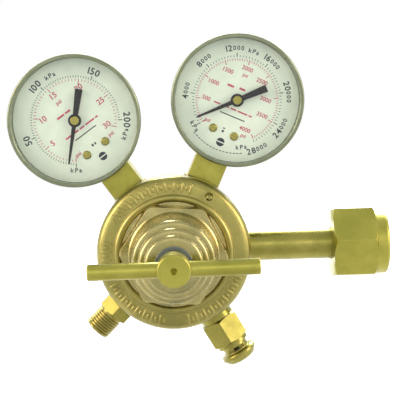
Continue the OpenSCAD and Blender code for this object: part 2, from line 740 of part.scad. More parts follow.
at_gauge(high_angle) bourdon_tube();  // high_gauge_bourdon_tube
at_gauge(high_angle) tube_tip();  // high_gauge_tube_tip
at_gauge(high_angle) gauge_link();  // high_gauge_link
at_gauge(high_angle) gauge_sector();  // high_gauge_sector
at_gauge(high_angle) gauge_pinion();  // high_gauge_pinion
at_gauge(high_angle) hairspring();  // high_gauge_hairspring
at_gauge(high_angle) gauge_pointer();  // high_gauge_pointer
at_gauge(high_angle) pointer_hub();  // high_gauge_pointer_hub
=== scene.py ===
"""Looks of a two-gauge gas regulator: finishes, screw threads, cast marks, dial prints and a studio."""

import json
import math

import bmesh
import bpy
from mathutils import Matrix, Vector


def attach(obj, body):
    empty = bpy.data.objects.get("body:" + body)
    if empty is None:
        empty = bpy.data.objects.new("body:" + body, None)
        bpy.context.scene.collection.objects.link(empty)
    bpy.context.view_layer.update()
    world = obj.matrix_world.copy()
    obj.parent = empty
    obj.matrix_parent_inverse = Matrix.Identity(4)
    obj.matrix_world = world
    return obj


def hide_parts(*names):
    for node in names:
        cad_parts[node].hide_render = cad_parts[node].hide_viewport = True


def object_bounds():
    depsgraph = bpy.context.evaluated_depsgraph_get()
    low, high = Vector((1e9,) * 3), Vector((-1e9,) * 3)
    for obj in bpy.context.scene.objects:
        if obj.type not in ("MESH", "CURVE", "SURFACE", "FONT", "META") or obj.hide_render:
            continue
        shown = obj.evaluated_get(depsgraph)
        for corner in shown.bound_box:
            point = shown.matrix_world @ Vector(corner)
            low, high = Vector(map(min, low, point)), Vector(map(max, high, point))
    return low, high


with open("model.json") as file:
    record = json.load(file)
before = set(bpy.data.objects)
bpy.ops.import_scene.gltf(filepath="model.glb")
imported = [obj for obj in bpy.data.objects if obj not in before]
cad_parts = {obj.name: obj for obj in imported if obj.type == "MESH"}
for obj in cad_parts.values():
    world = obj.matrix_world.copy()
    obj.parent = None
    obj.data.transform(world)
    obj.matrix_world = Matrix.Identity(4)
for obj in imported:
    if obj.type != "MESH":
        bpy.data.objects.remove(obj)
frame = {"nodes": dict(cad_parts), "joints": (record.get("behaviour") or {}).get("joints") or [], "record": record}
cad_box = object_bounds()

MM = 0.001
JOINTS = {joint["name"]: joint for joint in frame["joints"]}
SCREW_AXIS = Vector(JOINTS["adjusting_screw_turn"]["pos_m"])
SLOT_OF = {part["node"]: part["material_slot"] for part in frame["record"]["subparts"]}
GAUGES = ("low", "high")


# ---------- places ----------

def polar(radius, degrees):
    """Flat point at a radius and an angle counter-clockwise from the right."""
    angle = math.radians(degrees)
    return Vector((radius * math.cos(angle), radius * math.sin(angle)))


def bearing(point):
    """Direction of a point from the screw's axis, in radians counter-clockwise from the inlet."""
    return math.atan2(point[2], point[0] - SCREW_AXIS.x)


def axis_base():
    """The point of the port plane on the adjusting screw's axis, as a matrix."""
    return Matrix.Translation((SCREW_AXIS.x, 0, 0))


def port_place(angle):
    """Matrix that takes a piece drawn along +X to the port at that angle."""
    return axis_base() @ Matrix.Rotation(-angle, 4, "Y")


def gauge_place(gauge):
    """Matrix from a gauge's own frame (x right, z outwards, front -Y) to the row frame."""
    centre = Vector(JOINTS[f"{gauge}_pointer_turn"]["pos_m"])
    turn = Matrix.Rotation(math.pi / 2 - bearing(centre), 4, "Y")
    return Matrix.Translation((centre.x, 0, centre.z)) @ turn


def port_angle(mount):
    """Direction of a named mount from the screw's axis."""
    place = next(m for m in frame["record"]["mounts"] if m["name"] == mount)["pos_m"]
    return bearing(place)


OUTLET_ANGLE = port_angle("outlet_thread")
RELIEF_AXIS = JOINTS["relief_lift"]["axis"]
RELIEF_ANGLE = math.atan2(RELIEF_AXIS[2], RELIEF_AXIS[0])


# ---------- material helpers ----------

FACE_SHARE = 1.37        # how much closer tool marks are on a turned face than along its side


def srgb(red, green, blue):
    """Display colour (0 to 255) as the linear colour that shaders take."""
    def linear(value):
        value /= 255
        return value / 12.92 if value <= 0.04045 else ((value + 0.055) / 1.055) ** 2.4
    return (linear(red), linear(green), linear(blue), 1.0)


def node(tree, kind, settings=None, **inputs):
    """Adds a node. A setting is a property; an input is a constant or another node's output."""
    made = tree.nodes.new(kind)
    for key, value in (settings or {}).items():
        setattr(made, key, value)
    for key, value in inputs.items():
        socket = made.inputs[int(key[1:])] if key[1:].isdigit() else made.inputs[key.replace("_", " ")]
        if isinstance(value, bpy.types.NodeSocket):
            tree.links.new(value, socket)
        else:
            socket.default_value = value
    return made


def math_node(tree, operation, first, second):
    """Value of a sum, product or other operation on two numbers."""
    return node(tree, "ShaderNodeMath", {"operation": operation}, _0=first, _1=second).outputs[0]


def noise(tree, place, scale, detail=2.0, distortion=0.0):
    """Value of a noise whose features are about 1/scale metres wide."""
    made = node(tree, "ShaderNodeTexNoise", None, Vector=place, Scale=scale, Detail=detail,
                Distortion=distortion)
    return made.outputs[0]


def line_noise(tree, along, scale, detail=2.0):
    """Value of a noise that changes along one coordinate only."""
    made = node(tree, "ShaderNodeTexNoise", {"noise_dimensions": "1D"}, W=along, Scale=scale,
                Detail=detail)
    return made.outputs[0]


def spread(tree, value, low, high, to_low=0.0, to_high=1.0):
    """Stretches the range low..high to to_low..to_high."""
    made = node(tree, "ShaderNodeMapRange", None, Value=value, From_Min=low, From_Max=high,
                To_Min=to_low, To_Max=to_high)
    return made.outputs[0]


def blend_colour(tree, share, first, second):
    """Mix of two colours."""
    made = node(tree, "ShaderNodeMix", {"data_type": "RGBA"}, _0=share, _6=first, _7=second)
    return made.outputs[2]


def blank(name):
    """A new material with its tree and its Principled shader."""
    material = bpy.data.materials.new(name)
    material.use_nodes = True
    tree = material.node_tree
    return material, tree, tree.nodes["Principled BSDF"]


def object_place(tree):
    """Position on the piece, in metres in its own frame."""
    return node(tree, "ShaderNodeTexCoord").outputs["Object"]


def edge_share(tree, radius):
    """1 at a sharp edge and 0 on a flat, from how a rounded normal leans away from the true one."""
    soft = node(tree, "ShaderNodeBevel", {"samples": 6}, Radius=radius).outputs[0]
    true = node(tree, "ShaderNodeNewGeometry").outputs["Normal"]
    dot = node(tree, "ShaderNodeVectorMath", {"operation": "DOT_PRODUCT"}, _0=soft, _1=true)
    return spread(tree, dot.outputs["Value"], 0.995, 0.86)


def crevice_share(tree, reach):
    """1 in the open and less in a corner or under a neighbour, which the metals take as painted shade."""
    return node(tree, "ShaderNodeAmbientOcclusion", {"samples": 6}, Distance=reach).outputs["AO"]


def turning_coordinate(tree, place, origin, axis):
    """Coordinate that a lathe's tool marks follow: along the axis on the sides, outwards on faces."""
    axis = Vector(axis).normalized()
    shifted = node(tree, "ShaderNodeVectorMath", {"operation": "SUBTRACT"}, _0=place,
                   _1=tuple(origin)).outputs[0]
    along = node(tree, "ShaderNodeVectorMath", {"operation": "DOT_PRODUCT"}, _0=shifted,
                 _1=tuple(axis)).outputs["Value"]
    across = node(tree, "ShaderNodeVectorMath", {"operation": "CROSS_PRODUCT"}, _0=shifted,
                  _1=tuple(axis)).outputs[0]
    out = node(tree, "ShaderNodeVectorMath", {"operation": "LENGTH"}, _0=across).outputs["Value"]
    return math_node(tree, "ADD", along, math_node(tree, "MULTIPLY", out, FACE_SHARE))


# ---------- metals ----------

# Each finish: its two tones, the colour of stains, also used for the painted shade in corners, the
# colour of edges, lighter for wear and as a painted highlight, its roughness, how fine its grain is,
# and how deep the grain and the tool marks are in mm
FINISHES = {
    "forged_brass": dict(
        light=srgb(172, 162, 88), dark=srgb(146, 140, 72), stain_and_shade=srgb(142, 130, 78),
        edge=srgb(222, 198, 130), rough=0.36, grain=1100, grain_depth=0.030, mark_depth=0.002),
    # raised strokes: a little lighter than the flange, partly for rubbed tops and partly as a painted highlight
    "cast_marks": dict(
        light=srgb(176, 165, 92), dark=srgb(156, 148, 78), stain_and_shade=srgb(134, 122, 74),
        edge=srgb(196, 180, 114), rough=0.40, grain=1100, grain_depth=0.020, mark_depth=0.002),
    "machined_brass": dict(
        light=srgb(184, 177, 78), dark=srgb(164, 160, 64), stain_and_shade=srgb(136, 130, 54),
        edge=srgb(208, 194, 106), rough=0.36, grain=2600, grain_depth=0.005, mark_depth=0.010),
    "bright_brass": dict(
        light=srgb(168, 158, 76), dark=srgb(142, 138, 56), stain_and_shade=srgb(120, 114, 44),
        edge=srgb(220, 196, 124), rough=0.30, grain=2600, grain_depth=0.003, mark_depth=0.006),
    "steel": dict(
        light=srgb(140, 148, 146), dark=srgb(108, 118, 120), stain_and_shade=srgb(84, 88, 84),
        edge=srgb(176, 182, 180), rough=0.38, grain=2600, grain_depth=0.004, mark_depth=0.008),
    "spring_steel": dict(
        light=srgb(140, 142, 146), dark=srgb(98, 100, 105), stain_and_shade=srgb(80, 74, 66),
        edge=srgb(180, 182, 184), rough=0.38, grain=3000, grain_depth=0.004, mark_depth=0.004),
    "gauge_case": dict(
        light=srgb(138, 146, 118), dark=srgb(118, 126, 98), stain_and_shade=srgb(112, 114, 86),
        edge=srgb(188, 194, 168), rough=0.32, grain=1800, grain_depth=0.003, mark_depth=0.003),
    "bronze": dict(
        light=srgb(176, 142, 90), dark=srgb(146, 112, 66), stain_and_shade=srgb(104, 78, 50),
        edge=srgb(206, 172, 120), rough=0.36, grain=2200, grain_depth=0.006, mark_depth=0.006),
}
POLISHED = dict(light=srgb(196, 182, 120), dark=srgb(156, 150, 98), rough=0.24)
POLISHED_R = 27.6        # the bonnet is polished inside this radius, in mm
COAT = 0.45              # a film of oil and lacquer
COAT_ROUGH = 0.18
MARK_SCALE = 2600        # tool marks to the metre
EDGE_RADIUS = 0.35 * MM
CREVICE_REACH = 2.2 * MM


def polished_share(tree, place, origin):
    """1 near the bonnet's axis, where it is polished, and 0 out on the forged flange."""
    shifted = node(tree, "ShaderNodeVectorMath", {"operation": "SUBTRACT"}, _0=place,
                   _1=tuple(origin)).outputs[0]
    flat = node(tree, "ShaderNodeVectorMath", {"operation": "MULTIPLY"}, _0=shifted,
                _1=(1, 0, 1)).outputs[0]
    radius = node(tree, "ShaderNodeVectorMath", {"operation": "LENGTH"}, _0=flat).outputs["Value"]
    return spread(tree, radius, (POLISHED_R - 0.4) * MM, (POLISHED_R + 0.6) * MM, 1.0, 0.0)


def metal(name, finish, origin=(0, 0, 0), axis=(0, 1, 0), polished=False):
    """A metal with tone changes, stains, tool marks about its axis, edges lightened for wear and as a painted
    highlight, and painted shade in its corners.
    """
    look = FINISHES[finish]
    material, tree, shader = blank(name)
    place = object_place(tree)
    tone = noise(tree, place, 55, 3, 0.6)
    spots = noise(tree, place, 260, 5)
    grain = noise(tree, place, look["grain"], 2)
    marks = line_noise(tree, turning_coordinate(tree, place, origin, axis), MARK_SCALE, 3)
    edges = edge_share(tree, EDGE_RADIUS)
    open_air = crevice_share(tree, CREVICE_REACH)

    colour = blend_colour(tree, spread(tree, tone, 0.35, 0.65), look["dark"], look["light"])
    inside = 0.0
    if polished:
        inside = polished_share(tree, place, origin)
        buffed = blend_colour(tree, spread(tree, tone, 0.35, 0.65), POLISHED["dark"],
                              POLISHED["light"])
        colour = blend_colour(tree, inside, colour, buffed)
    stained = math_node(tree, "MULTIPLY", spread(tree, spots, 0.55, 0.8), 0.3)
    colour = blend_colour(tree, stained, colour, look["stain_and_shade"])
    streaks = math_node(tree, "MULTIPLY", spread(tree, marks, 0.35, 0.75), 0.22)
    colour = blend_colour(tree, streaks, colour, look["dark"])
    # Painted shade: colour pulled towards the stain colour in corners and under neighbours, from ambient
    # occlusion; the same mask also roughens those spots like grime.
    painted_shade_and_grime = spread(tree, open_air, 0.2, 0.8, 0.35, 0.0)
    colour = blend_colour(tree, painted_shade_and_grime, colour, look["stain_and_shade"])
    # Edges lightened towards the edge colour, patchy with the spots: partly rubbed wear, partly a painted
    # highlight along the edges.
    wear_and_highlight = math_node(tree, "MULTIPLY", edges, spread(tree, spots, 0.3, 0.6, 0.5, 1.0))
    colour = blend_colour(tree, wear_and_highlight, colour, look["edge"])

    wear = spread(tree, spots, 0.3, 0.7, look["rough"] - 0.05, look["rough"] + 0.09)
    wear = math_node(tree, "ADD", wear, spread(tree, marks, 0.3, 0.7, -0.03, 0.04))
    wear = math_node(tree, "ADD", wear, math_node(tree, "MULTIPLY", painted_shade_and_grime, 0.35))
    wear = math_node(tree, "SUBTRACT", wear, math_node(tree, "MULTIPLY", edges, 0.08))
    if polished:
        drop = math_node(tree, "MULTIPLY", inside, look["rough"] - POLISHED["rough"])
        wear = math_node(tree, "SUBTRACT", wear, drop)
        calm = math_node(tree, "SUBTRACT", 1.0, math_node(tree, "MULTIPLY", inside, 0.85))
        grain = math_node(tree, "MULTIPLY", grain, calm)
        marks = math_node(tree, "MULTIPLY", marks, calm)

    soft = node(tree, "ShaderNodeBevel", {"samples": 6}, Radius=EDGE_RADIUS * 0.7).outputs[0]
    rough_skin = node(tree, "ShaderNodeBump", None, Strength=1.0,
                      Distance=look["grain_depth"] * MM, Height=grain, Normal=soft).outputs[0]
    skin = node(tree, "ShaderNodeBump", None, Strength=1.0, Distance=look["mark_depth"] * MM,
                Height=marks, Normal=rough_skin).outputs[0]
    tree.links.new(colour, shader.inputs["Base Color"])
    tree.links.new(wear, shader.inputs["Roughness"])
    tree.links.new(skin, shader.inputs["Normal"])
    shader.inputs["Metallic"].default_value = 1.0
    shader.inputs["Coat Weight"].default_value = COAT
    shader.inputs["Coat Roughness"].default_value = COAT_ROUGH
    return material


# ---------- other materials ----------

def dull(name, light, dark, rough, grain, depth):
    """A material that isn't metal: rubber, plastic or paint, with its grain and roughness changes."""
    material, tree, shader = blank(name)
    place = object_place(tree)
    tone = noise(tree, place, grain * 0.15, 3)
    fine = noise(tree, place, grain, 3)
    colour = blend_colour(tree, spread(tree, tone, 0.3, 0.7), dark, light)
    skin = node(tree, "ShaderNodeBump", None, Strength=1.0, Distance=depth * MM, Height=fine)
    tree.links.new(colour, shader.inputs["Base Color"])
    tree.links.new(spread(tree, fine, 0.3, 0.7, rough - 0.06, rough + 0.08),
                   shader.inputs["Roughness"])
    tree.links.new(skin.outputs[0], shader.inputs["Normal"])
    return material


def lens_material():
    """Clear plastic window: it lets light straight through and mirrors a little, with faint wipes."""
    material, tree, shader = blank("clear_lens")
    place = object_place(tree)
    smears = noise(tree, place, 90, 5, 1.5)
    clear = node(tree, "ShaderNodeBsdfTransparent", None, Color=(0.985, 0.995, 0.98, 1))
    mirror = node(tree, "ShaderNodeBsdfGlossy", None, Color=(1, 1, 1, 1),
                  Roughness=spread(tree, smears, 0.35, 0.7, 0.04, 0.12))
    share = node(tree, "ShaderNodeFresnel", None, IOR=1.38).outputs[0]
    inner = node(tree, "ShaderNodeNewGeometry").outputs["Backfacing"]
    share = math_node(tree, "MULTIPLY", share, math_node(tree, "SUBTRACT", 1.0, inner))
    pane = node(tree, "ShaderNodeMixShader", None, _0=share, _1=clear.outputs[0],
                _2=mirror.outputs[0])
    tree.links.new(pane.outputs[0], tree.nodes["Material Output"].inputs["Surface"])
    tree.nodes.remove(shader)
    return material


MATTE = {
    "dial_face": dull("dial_enamel", srgb(232, 242, 228), srgb(222, 232, 218), 0.42, 900, 0.002),
    "pointer_black": dull("pointer_black", srgb(20, 20, 26), srgb(8, 8, 12), 0.6, 2400, 0.004),
    "rubber": dull("rubber", srgb(46, 45, 44), srgb(30, 30, 30), 0.7, 1500, 0.01),
    "ptfe": dull("ptfe", srgb(235, 234, 228), srgb(220, 219, 212), 0.45, 1500, 0.004),
    "lens": lens_material(),
}
PRINT_BLACK = dull("print_black", srgb(44, 56, 68), srgb(30, 40, 52), 0.6, 2500, 0.001)
PRINT_RED = dull("print_red", srgb(198, 92, 116), srgb(184, 74, 102), 0.6, 2500, 0.001)


def turning_axis(name):
    """Origin and axis of the tool marks on a CAD node."""
    base = Vector((SCREW_AXIS.x, 0, 0))
    if name in ("inlet_nipple", "inlet_filter", "inlet_nut", "handle_bar"):
        return base, (1, 0, 0)
    if name == "outlet_fitting":
        return base, (math.cos(OUTLET_ANGLE), 0, math.sin(OUTLET_ANGLE))
    if name.startswith("relief"):
        return base, tuple(RELIEF_AXIS)
    gauge = name.split("_")[0]
    if gauge in GAUGES:
        centre = gauge_place(gauge).to_translation()
        if name.endswith("socket"):
            return base, tuple(centre - base)
        return centre, (0, 1, 0)
    return base, (0, 1, 0)


def finish_of(name):
    """Material of a CAD node, from its slot in the record."""
    slot = SLOT_OF[name]
    if slot in MATTE:
        return MATTE[slot]
    origin, axis = turning_axis(name)
    return metal(f"{name}_{slot}", slot, origin, axis, polished=name == "bonnet")


def dress_nodes():
    """Gives every CAD node its material."""
    for name, piece in frame["nodes"].items():
        material = finish_of(name)
        piece.data.materials.clear()
        piece.data.materials.append(material)
        for face in piece.data.polygons:
            face.material_index = 0


# ---------- mesh helpers ----------

def piece_from(name, mesh, material, body):
    """Links a finished mesh as a piece that rides on a body."""
    piece = bpy.data.objects.new(name, mesh)
    bpy.context.scene.collection.objects.link(piece)
    mesh.materials.clear()
    mesh.materials.append(material)
    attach(piece, body)
    return piece


def mesh_from(name, build):
    """A mesh made by a function that fills a bmesh."""
    shape = bmesh.new()
    build(shape)
    bmesh.ops.recalc_face_normals(shape, faces=shape.faces)
    mesh = bpy.data.meshes.new(name)
    shape.to_mesh(mesh)
    shape.free()
    return mesh


def smooth(mesh, degrees=35):
    """Smooth shading with edges sharper than the angle kept crisp."""
    for face in mesh.polygons:
        face.use_smooth = True
    mesh.set_sharp_from_angle(angle=math.radians(degrees))


def bridge(shape, rings):
    """Skins a row of rings of vertices, and closes the two ends."""
    for first, second in zip(rings, rings[1:]):
        count = len(first)
        for i in range(count):
            j = (i + 1) % count
            shape.faces.new((first[i], first[j], second[j], second[i]))
    shape.faces.new(list(reversed(rings[0])))
    shape.faces.new(rings[-1])


def slab(shape, outline, front, back, place):
    """A flat plate with that outline of (x, z) points, between two depths, moved by a matrix."""
    rings = [[shape.verts.new(place @ Vector((x, depth, z))) for x, z in outline]
             for depth in (front, back)]
    bridge(shape, rings)


# ---------- screw threads ----------

THREAD_STEPS = 48        # sections in one turn
MOUTH_SHARE = 0.47       # half widths of a groove's mouth and root, as shares of the pitch
ROOT_SHARE = 0.07
WELD_REACH = 1e-7

# Each thread, in mm: where it starts and ends on its axis, its pitch, and the groove's two radii
OUTLET_THREAD = dict(start=49.2, end=61, pitch=1.411, mouth_r=7.45, root_r=6.42)
NUT_THREAD = dict(start=99.6, end=114.4, pitch=1.814, mouth_r=10.5, root_r=11.5)
SCREW_THREAD = dict(start=-63.6, end=-43.4, pitch=1.27, mouth_r=6.6, root_r=5.62)


def groove_cutter(name, place, start, end, pitch, mouth_r, root_r):
    """A helical V groove along +X, from a mouth radius to a root radius."""
    turns = (end - start) / pitch
    count = round(turns * THREAD_STEPS)
    mouth, root = MOUTH_SHARE * pitch, ROOT_SHARE * pitch

    def build(shape):
        rings = []
        for i in range(count + 1):
            turn = 2 * math.pi * i / THREAD_STEPS
            x = start + pitch * i / THREAD_STEPS
            corners = ((x - mouth, mouth_r), (x - root, root_r), (x + root, root_r),
                       (x + mouth, mouth_r))
            rings.append([
                shape.verts.new(place @ Vector((a * MM, r * MM * math.cos(turn),
                                                r * MM * math.sin(turn))))
                for a, r in corners])
        bridge(shape, rings)

    return mesh_from(name, build)


def welded_copy(node_name):
    """A closed copy of a CAD node's mesh."""
    shape = bmesh.new()
    shape.from_mesh(frame["nodes"][node_name].data)
    bmesh.ops.remove_doubles(shape, verts=shape.verts, dist=WELD_REACH)
    mesh = bpy.data.meshes.new(node_name + "_cut")
    shape.to_mesh(mesh)
    shape.free()
    if "custom_normal" in mesh.attributes:
        mesh.attributes.remove(mesh.attributes["custom_normal"])
    return mesh


def cut(mesh, cutter):
    """The mesh with the cutter's solid taken away."""
    holder = bpy.data.objects.new("cut_target", mesh)
    tool = bpy.data.objects.new("cut_tool", cutter)
    for spare in (holder, tool):
        bpy.context.scene.collection.objects.link(spare)
    modifier = holder.modifiers.new("cut", "BOOLEAN")
    modifier.operation = "DIFFERENCE"
    modifier.solver = "MANIFOLD"
    modifier.object = tool
    bpy.context.view_layer.update()
    graph = bpy.context.evaluated_depsgraph_get()
    result = bpy.data.meshes.new_from_object(holder.evaluated_get(graph))
    for spare in (holder, tool):
        bpy.data.objects.remove(spare)
    return result


def threaded(node_name, body, cutter):
    """Replaces a CAD node by a copy with its screw thread cut."""
    mesh = cut(welded_copy(node_name), cutter)
    smooth(mesh)
    piece = piece_from(node_name + "_threaded", mesh, finish_of(node_name), body)
    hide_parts(node_name)


def cut_threads():
    """Threads of the hose outlet, the inlet nut and the adjusting screw."""
    outlet = groove_cutter("outlet_groove", port_place(OUTLET_ANGLE), **OUTLET_THREAD)
    threaded("outlet_fitting", "regulator", outlet)
    nut = groove_cutter("nut_groove", axis_base(), **NUT_THREAD)
    threaded("inlet_nut", "inlet_nut", nut)
    along_y = axis_base() @ Matrix.Rotation(math.radians(90), 4, "Z")
    screw = groove_cutter("screw_groove", along_y, **SCREW_THREAD)
    threaded("adjusting_screw", "adjusting_screw", screw)


# ---------- cast marks on the bonnet ----------

FLANGE_FACE = -23.7      # the flange's flat face, and the rounding of its edge
EDGE_CENTRE_R = 35.0
EDGE_CENTRE_Y = -18.7
EDGE_ROUND = 5.0
MARK_HEIGHT = 0.7        # a mark's height and half its width
MARK_HALF = 0.75
MARK_STEPS = 7           # sections along a mark
MARK_END = 0.55          # how wide a mark's ends are, as a share of its middle
# A mark's section: how far across, and how high, as shares of its half width and height
MARK_SECTION = ((-1, -0.35), (-0.72, 0.72), (0, 1), (0.72, 0.72), (1, -0.35))
MARK_SPANS = ((31.9, 37.6), (33.4, 36.2))     # radii that long and short marks run between
BORDER_STEP = 3.6        # degrees from mark to mark
BORDER_ARCS = ((74, 150), (169, 191), (206, 262), (281, 341))


def flange_y(radius):
    """Depth of the flange's front surface at a radius."""
    if radius <= EDGE_CENTRE_R:
        return FLANGE_FACE
    rise = EDGE_ROUND ** 2 - (radius - EDGE_CENTRE_R) ** 2
    return EDGE_CENTRE_Y - math.sqrt(rise)


def ridge(shape, degrees, low, high):
    """A rounded raised stroke on the flange, outwards between two radii at an angle."""
    place = axis_base()
    start, end = polar(low, degrees), polar(high, degrees)
    along = (end - start).normalized()
    side = Vector((-along.y, along.x))
    rings = []
    for i in range(MARK_STEPS + 1):
        centre = start.lerp(end, i / MARK_STEPS)
        slim = MARK_END if i in (0, MARK_STEPS) else 1.0
        ring = []
        for across, lift in MARK_SECTION:
            spot = centre + side * across * MARK_HALF * slim
            height = lift * MARK_HEIGHT if lift < 0 else lift * MARK_HEIGHT * (slim - 0.1)
            y = flange_y(spot.length) - height
            ring.append(shape.verts.new(place @ Vector((spot.x * MM, y * MM, spot.y * MM))))
        rings.append(ring)
    bridge(shape, rings)


def cast_marks():
    """A raised border of plain strokes round the bonnet's flange."""
    def build(shape):
        for first, last in BORDER_ARCS:
            count = int((last - first) / BORDER_STEP)
            for i in range(count + 1):
                ridge(shape, first + i * BORDER_STEP, *MARK_SPANS[i % len(MARK_SPANS)])

    mesh = mesh_from("bonnet_cast_marks", build)
    smooth(mesh, 60)
    # The strokes get a slightly lighter finish than the flange: rubbed tops and a painted highlight.
    wear_and_highlight = metal("bonnet_cast_marks", "cast_marks")
    piece_from("bonnet_cast_marks", mesh, wear_and_highlight, "regulator")


# ---------- dial prints ----------

PRINT_FRONT = -9.93      # the ink's front and back, just on the dial
PRINT_BACK = -9.88
FONT_CAP = 0.72          # height of a digit of the built-in font at size 1
BOLD = 0.03              # how far a character's outline is pushed out, as a share of its height
CHARACTER_GAP = 0.55
DASH_GAP = 0.7
TICK_WIDTH = 0.3
LONG_TICK_WIDTH = 0.42
GLYPHS = {}              # characters already drawn, by text and height


def flat_text(body, height):
    """One string as 2D points about its centre, faces, and a width, in millimetres."""
    curve = bpy.data.curves.new("glyph", "FONT")
    curve.body = body
    curve.size = height / FONT_CAP
    curve.offset = height * BOLD
    curve.resolution_u = 3
    holder = bpy.data.objects.new("glyph", curve)
    bpy.context.scene.collection.objects.link(holder)
    bpy.context.view_layer.update()
    graph = bpy.context.evaluated_depsgraph_get()
    mesh = bpy.data.meshes.new_from_object(holder.evaluated_get(graph))
    bpy.data.objects.remove(holder)
    points = [Vector((v.co.x, v.co.y)) for v in mesh.vertices]
    low_x, high_x = min(p.x for p in points), max(p.x for p in points)
    middle = Vector(((low_x + high_x) / 2, height / 2))
    faces = [tuple(face.vertices) for face in mesh.polygons]
    bpy.data.meshes.remove(mesh)
    return [p - middle for p in points], faces, high_x - low_x


def glyph(body, height):
    """The flat text of a string, drawn once for each height."""
    if (body, height) not in GLYPHS:
        GLYPHS[(body, height)] = flat_text(body, height)
    return GLYPHS[(body, height)]


def stamp(shape, body, height, at, lean, place):
    """Prints a string on the dial about a point, turned by an angle in radians."""
    points, faces, _ = glyph(body, height)
    turn = Matrix.Rotation(lean, 2)
    flat = [turn @ p + at for p in points]
    layers = [[shape.verts.new(place @ Vector((p.x * MM, y * MM, p.y * MM))) for p in flat]
              for y in (PRINT_FRONT, PRINT_BACK)]
    edges = {}
    for face in faces:
        shape.faces.new([layers[0][i] for i in face])
        shape.faces.new([layers[1][i] for i in reversed(face)])
        for a, b in zip(face, face[1:] + face[:1]):
            edges[(a, b)] = edges.get((b, a), 0) + 1
    for a, b in edges:
        if (b, a) not in edges:
            shape.faces.new((layers[0][b], layers[0][a], layers[1][a], layers[1][b]))


def arc_print(shape, characters, radius, degrees, place, tops_out=True):
    """Prints (character, height) pairs one by one along the dial's arc."""
    widths = [glyph(body, height)[2] for body, height in characters]
    total = sum(widths) + CHARACTER_GAP * (len(widths) - 1)
    run = -total / 2
    for (body, height), width in zip(characters, widths):
        along = math.degrees((run + width / 2) / radius)
        spot = degrees - along if tops_out else degrees + along
        lean = math.radians(spot - 90 if tops_out else spot + 90)
        stamp(shape, body, height, polar(radius, spot), lean, place)
        run += width + CHARACTER_GAP


def bar_print(shape, centre, length, width, degrees, place):
    """Prints a plain bar centred on a point of the dial."""
    along = polar(1, degrees) * length / 2
    side = polar(1, degrees + 90) * width / 2
    corners = (centre - along - side, centre + along - side, centre + along + side,
               centre - along + side)
    outline = [(p.x * MM, p.y * MM) for p in corners]
    slab(shape, outline, PRINT_FRONT * MM, PRINT_BACK * MM, place)


def ticks(shape, start, step, count, inner, outer, long_every, long_by, place):
    """Prints a scale's ticks; every so many are longer."""
    for i in range(count + 1):
        degrees = start - i * step
        major = i % long_every == 0
        inside = inner + (min(long_by, 0) if major else 0)
        outside = outer + (max(long_by, 0) if major else 0)
        middle = polar((inside + outside) / 2, degrees)
        width = LONG_TICK_WIDTH if major else TICK_WIDTH
        bar_print(shape, middle, outside - inside, width, degrees, place)


def dashes(shape, centre, lengths, degrees, width, place):
    """Prints a broken line of dashes in place of a row of small lettering."""
    total = sum(lengths) + DASH_GAP * (len(lengths) - 1)
    run = -total / 2
    for length in lengths:
        spot = centre + polar(1, degrees) * (run + length / 2)
        bar_print(shape, spot, length, width, degrees, place)
        run += length + DASH_GAP


def digits(text, height):
    """The characters of a string, all of one height."""
    return [(c, height) for c in text]


def thousands(text):
    """A number in thousands: its leading digits large and its zeros small."""
    return digits(text[:-3], 3.1) + digits("000", 2.3)


ZERO_ANGLE = 234         # where both scales start
BLACK_R = 22.2           # inside of the black ticks and outside of the red ones
RED_R = 21.6


def low_black(shape, place):
    """Black kilopascal scale of the delivery gauge, 0 to 200."""
    ticks(shape, ZERO_ANGLE, 3.375, 80, BLACK_R, BLACK_R + 1.0, 20, 1.2, place)
    for number, degrees in (("50", 166.5), ("100", 102.5), ("150", 31.4), ("200", -36)):
        arc_print(shape, digits(number, 3.5), 27, degrees, place)
    arc_print(shape, digits("kPa", 2.4), 26.4, 82, place)
    arc_print(shape, digits("kPa", 2.4), 26.6, -52, place, False)
    arc_print(shape, digits("kPa", 2.4), 25.8, ZERO_ANGLE, place, False)
    bar_print(shape, Vector((0.5, -8.4)), 13.4, 0.55, 0, place)
    dashes(shape, Vector((0.3, -15.6)), (1.1, 0.8), 0, 1.3, place)


def low_red(shape, place):
    """Red scale of the delivery gauge, 0 to 30 psi."""
    ticks(shape, ZERO_ANGLE, 4.655, 60, RED_R - 1.2, RED_R, 10, -1.4, place)
    rows = (("5", 188, 16.6), ("10", 141, 16.5), ("15", 94, 17.1), ("20", 47, 17.2),
            ("25", 1, 16.5), ("30", -44, 16.5))
    for number, degrees, radius in rows:
        stamp(shape, number, 3.0, polar(radius, degrees), 0, place)
    stamp(shape, "psi", 2.1, polar(12.7, 95), 0, place)
    stamp(shape, "psi", 2.1, polar(17.5, 238), 0, place)
    stamp(shape, "psi", 2.1, polar(19.6, -57), 0, place)
    dashes(shape, polar(6.6, 116), (4.4, 3.2), 0, 1.1, place)
    dashes(shape, Vector((0.5, -5)), (3.4, 4.2, 3.0, 5.6, 1.6), 0, 0.9, place)


def high_black(shape, place):
    """Black kilopascal scale of the cylinder gauge, 0 to 28000."""
    ticks(shape, ZERO_ANGLE, 4.04, 69, BLACK_R, BLACK_R + 1.0, 10, 1.2, place)
    for number, degrees in (("4000", 192), ("8000", 152.5), ("12000", 115), ("16000", 70),
                            ("20000", 31.8)):
        arc_print(shape, thousands(number), 27, degrees, place)
    arc_print(shape, thousands("24000"), 27, -10, place, False)
    arc_print(shape, thousands("28000"), 27.4, -45, place, False)
    arc_print(shape, digits("kPa", 2.3), 26.6, 93.5, place)
    arc_print(shape, digits("kPa", 2.3), 24.4, -62, place, False)
    arc_print(shape, digits("kPa", 2.4), 25.7, ZERO_ANGLE, place, False)
    bar_print(shape, Vector((1.0, -8.7)), 13.8, 0.55, 0, place)
    dashes(shape, Vector((-0.6, -16.9)), (1.2, 0.6), 90, 1.2, place)
    for i in range(16):
        bar_print(shape, polar(27.6, 240 + 3.8 * i), 1.2, 0.42, 330 + 3.8 * i, place)


